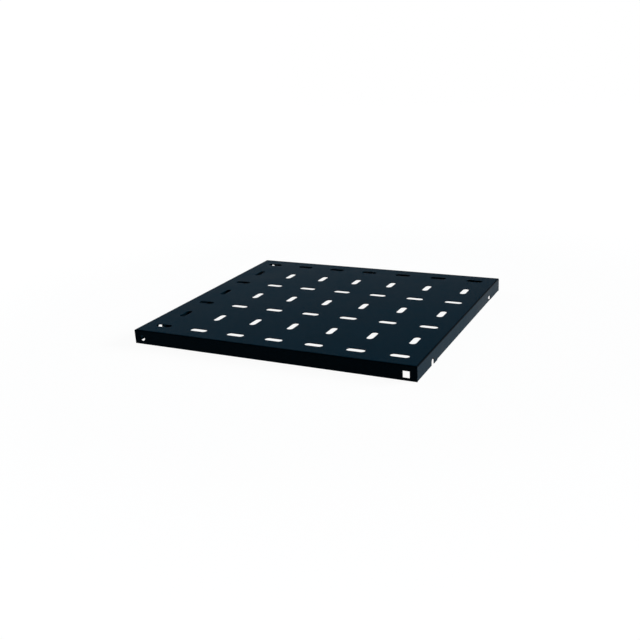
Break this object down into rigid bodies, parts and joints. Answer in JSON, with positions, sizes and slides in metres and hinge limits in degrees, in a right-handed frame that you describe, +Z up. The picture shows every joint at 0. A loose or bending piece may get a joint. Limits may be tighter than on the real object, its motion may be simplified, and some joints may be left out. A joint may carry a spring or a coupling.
{
  "type": "rack shelf",
  "caption": "Perforated rack shelf folded from one steel sheet: a flat deck with rows of round-ended slots, flanges turned down on all sides and lips under the side flanges.",
  "frame": {"origin": "centre of the plane that the folded edges stand on", "axes": "+X to the right across the shelf, +Y to the back, +Z up out of the deck"},
  "size_m": [0.44, 0.397, 0.0214],
  "materials": {
    "powder_coat": "fine satin powder coat, blue-black"
  },
  "bodies": {
    "root": {"shelf": "powder_coat"}
  },
  "joints": []
}
